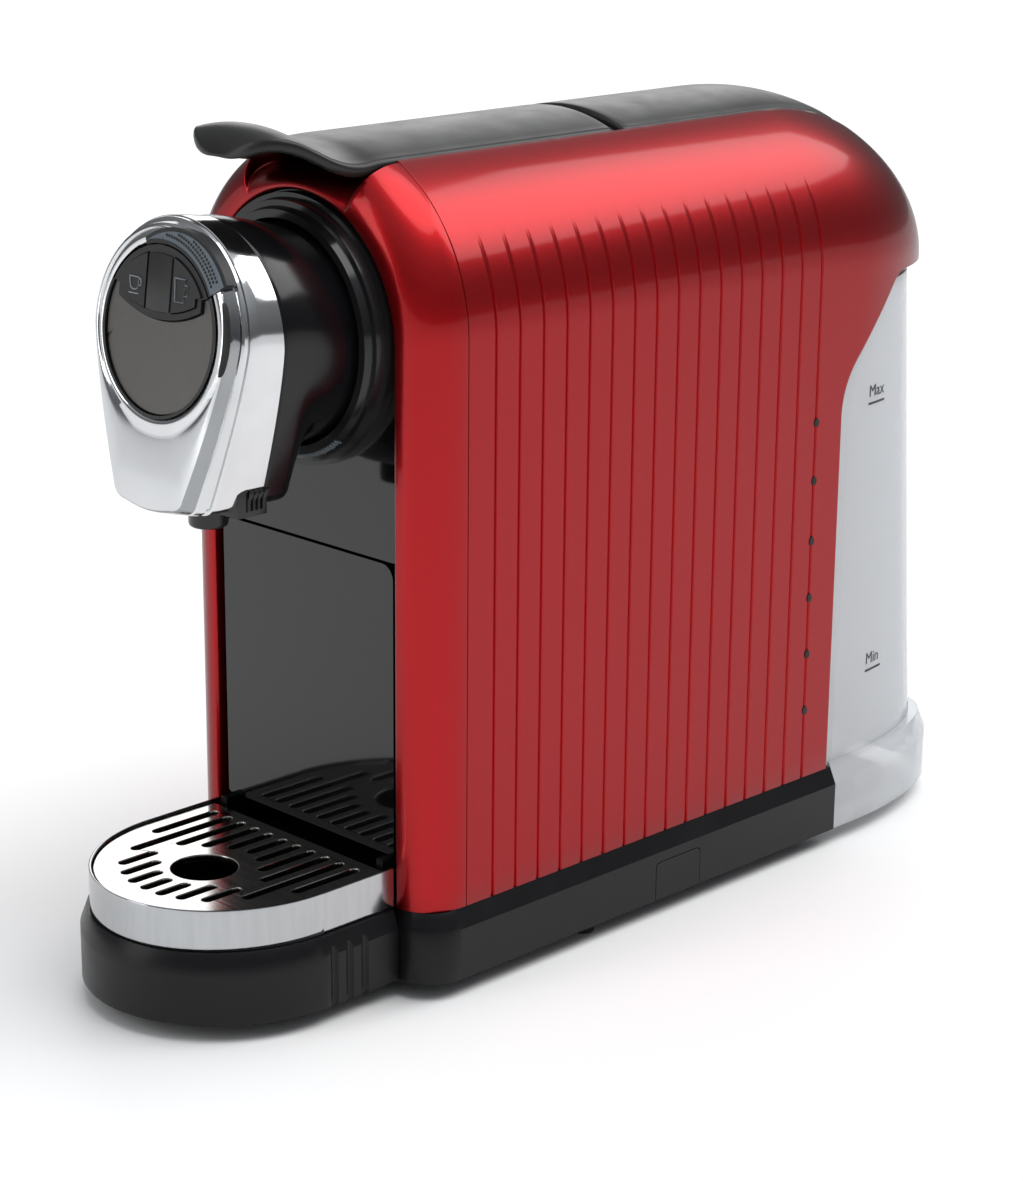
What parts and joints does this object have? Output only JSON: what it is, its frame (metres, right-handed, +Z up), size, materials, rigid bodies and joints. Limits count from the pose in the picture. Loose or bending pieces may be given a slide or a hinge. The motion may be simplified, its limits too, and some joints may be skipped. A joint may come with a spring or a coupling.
{
  "type": "capsule espresso machine",
  "caption": "Slim capsule espresso machine with fluted side panels, round-faced coffee head, lift lever, slide-out drip drawer and rear water tank.",
  "frame": {"origin": "centre of the machine's footprint on the surface it stands on", "axes": "+Z up, front with the coffee head towards -Y, +X to the right side seen from the front"},
  "size_m": [0.124, 0.37, 0.2793],
  "materials": {
    "black_base": "satin black moulding",
    "screw_steel": "plated steel",
    "rubber": "matt black rubber",
    "inner_plastic": "textured black moulding",
    "red_paint": "metallic red, satin gloss",
    "satin_black": "satin black",
    "gloss_black": "piano black",
    "chrome": "polished chrome plate",
    "dark_disc": "dark satin",
    "key_rubber": "soft-touch black",
    "grille_steel": "polished dark steel",
    "circuit_board": "green laminate",
    "spout_plastic": "satin black",
    "heater_alloy": "cast",
    "piston_plastic": "natural white",
    "pump_body": "grey",
    "hose": "translucent silicone",
    "clear_tank": "clear moulded plastic"
  },
  "bodies": {
    "machine": {"base_chassis": "black_base", "base_side_hatch": "black_base", "base_screws": "screw_steel", "rubber_feet": "rubber", "deck_plate": "inner_plastic", "tank_shelf": "inner_plastic", "tank_shelf_pads": "rubber", "dock_seal": "rubber", "front_fascia": "red_paint", "side_panel_right": "red_paint", "side_panel_left": "red_paint", "rear_top_cover": "satin_black", "rear_bulkhead": "inner_plastic", "upper_front_panel": "gloss_black", "neck_ring": "gloss_black", "head_housing": "satin_black", "head_shell": "chrome", "disc_trim_ring": "chrome", "face_disc": "dark_disc", "disc_backing": "inner_plastic", "key_bezel": "key_rubber", "key_board": "circuit_board", "indicator_window": "gloss_black", "spout_catch": "satin_black", "outlet_chute": "inner_plastic", "lever_axle": "screw_steel", "slot_cover": "inner_plastic", "brew_frame_right": "inner_plastic", "brew_frame_left": "inner_plastic", "brew_platform": "inner_plastic", "guide_rails": "inner_plastic", "capsule_cage": "heater_alloy", "injector": "heater_alloy", "thermoblock": "heater_alloy", "heater_bracket": "inner_plastic", "pump": "pump_body", "pump_mounts": "rubber", "flow_meter": "pump_body", "suction_hose": "hose", "pressure_hose": "hose", "dock_hose": "hose", "control_board": "circuit_board", "board_holder": "inner_plastic", "power_gland": "satin_black"},
    "lever": {"lever": "satin_black", "crank_pin": "screw_steel"},
    "piston": {"brew_piston": "piston_plastic"},
    "drawer": {"drip_tray": "black_base", "tray_ring": "chrome", "capsule_bin": "gloss_black"},
    "grille": {"drip_grille": "grille_steel"},
    "tank": {"water_tank": "clear_tank", "valve_cage": "piston_plastic", "valve_spring": "screw_steel"},
    "tank_lid": {"tank_lid": "clear_tank"},
    "valve": {"valve_poppet": "piston_plastic"},
    "espresso_key": {"espresso_key": "key_rubber"},
    "lungo_key": {"lungo_key": "key_rubber"},
    "spout": {"spout": "spout_plastic"}
  },
  "joints": [
    {"name": "lever_hinge", "type": "hinge", "parent": "machine", "child": "lever", "pos_m": [0, 0.0055, 0.257], "axis": [-1, 0, 0], "range_deg": [0, 60]},
    {"name": "piston_slide", "type": "slide", "parent": "machine", "child": "piston", "axis": [0, -1, 0], "range_m": [0, 0.02505]},
    {"name": "drawer_slide", "type": "slide", "parent": "machine", "child": "drawer", "axis": [0, -1, 0], "range_m": [0, 0.12]},
    {"name": "grille_lift", "type": "slide", "parent": "drawer", "child": "grille", "axis": [0, 0, 1], "range_m": [0, 0.03]},
    {"name": "tank_slide", "type": "slide", "parent": "machine", "child": "tank", "axis": [0, 1, 0], "range_m": [0, 0.12]},
    {"name": "tank_lid_lift", "type": "slide", "parent": "tank", "child": "tank_lid", "axis": [0, 0, 1], "range_m": [0, 0.04]},
    {"name": "valve_lift", "type": "slide", "parent": "tank", "child": "valve", "axis": [0, 0, 1], "range_m": [0, 0.0025], "stiffness_N_per_m": 120, "deforming": ["valve_spring"]},
    {"name": "espresso_key_press", "type": "slide", "parent": "machine", "child": "espresso_key", "axis": [0, 0.9914, -0.1305], "range_m": [0, 0.0008], "stiffness_N_per_m": 400},
    {"name": "lungo_key_press", "type": "slide", "parent": "machine", "child": "lungo_key", "axis": [0, 0.9914, -0.1305], "range_m": [0, 0.0008], "stiffness_N_per_m": 400},
    {"name": "spout_slide", "type": "slide", "parent": "machine", "child": "spout", "axis": [0, 0, -1], "range_m": [0, 0.012]}
  ],
  "couplings": [
    {"joint": "piston_slide", "follows": "lever_hinge", "m_per_rad": 0.02387}
  ]
}
